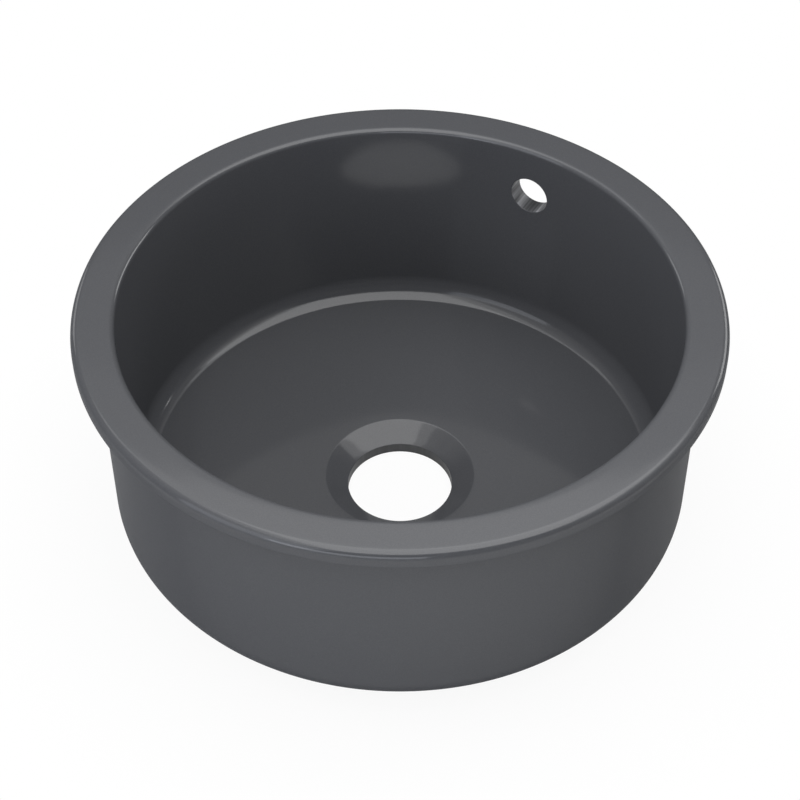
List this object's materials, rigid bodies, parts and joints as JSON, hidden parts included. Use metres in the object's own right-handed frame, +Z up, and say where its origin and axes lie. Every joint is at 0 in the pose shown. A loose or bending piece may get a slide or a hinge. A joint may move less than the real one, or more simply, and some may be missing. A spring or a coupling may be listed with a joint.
{
  "type": "undermount kitchen sink",
  "caption": "Round undermount kitchen sink bowl with a flat ring rim, a waste opening in a conical recess, an overflow hole, and swinging fixing clips stowed under the rim.",
  "frame": {"origin": "centre of the outlet's foot, which is the lowest face and the middle of the bounding box's bottom", "axes": "+Z up through the waste outlet towards the rim, +Y from the axis towards the overflow hole at the back, +X right as seen from the front"},
  "size_m": [0.52, 0.5198, 0.218],
  "materials": {
    "quartz_composite": "satin",
    "brass": "satin",
    "zinc_plated_steel": "satin",
    "spring_steel": "satin",
    "zinc_plated_screw": "satin"
  },
  "bodies": {
    "sink": {"bowl": "quartz_composite", "threaded_insert_rear_right": "brass", "threaded_insert_rear_left": "brass", "threaded_insert_front_left": "brass", "threaded_insert_front_right": "brass", "plain_washer_rear_right": "zinc_plated_steel", "plain_washer_rear_left": "zinc_plated_steel", "plain_washer_front_left": "zinc_plated_steel", "plain_washer_front_right": "zinc_plated_steel", "spring_washer_rear_right": "spring_steel", "spring_washer_rear_left": "spring_steel", "spring_washer_front_left": "spring_steel", "spring_washer_front_right": "spring_steel", "clip_screw_rear_right": "zinc_plated_screw", "clip_screw_rear_left": "zinc_plated_screw", "clip_screw_front_left": "zinc_plated_screw", "clip_screw_front_right": "zinc_plated_screw"},
    "clip_rear_right": {"fixing_clip_rear_right": "zinc_plated_steel"},
    "clip_rear_left": {"fixing_clip_rear_left": "zinc_plated_steel"},
    "clip_front_left": {"fixing_clip_front_left": "zinc_plated_steel"},
    "clip_front_right": {"fixing_clip_front_right": "zinc_plated_steel"}
  },
  "joints": [
    {"name": "clip_swing_rear_right", "type": "hinge", "parent": "sink", "child": "clip_rear_right", "pos_m": [0.17678, 0.17678, 0.2034], "axis": [0, 0, -1], "range_deg": [0, 188]},
    {"name": "clip_swing_rear_left", "type": "hinge", "parent": "sink", "child": "clip_rear_left", "pos_m": [-0.17678, 0.17678, 0.2034], "axis": [0, 0, -1], "range_deg": [0, 188]},
    {"name": "clip_swing_front_left", "type": "hinge", "parent": "sink", "child": "clip_front_left", "pos_m": [-0.17678, -0.17678, 0.2034], "axis": [0, 0, -1], "range_deg": [0, 188]},
    {"name": "clip_swing_front_right", "type": "hinge", "parent": "sink", "child": "clip_front_right", "pos_m": [0.17678, -0.17678, 0.2034], "axis": [0, 0, -1], "range_deg": [0, 188]}
  ]
}
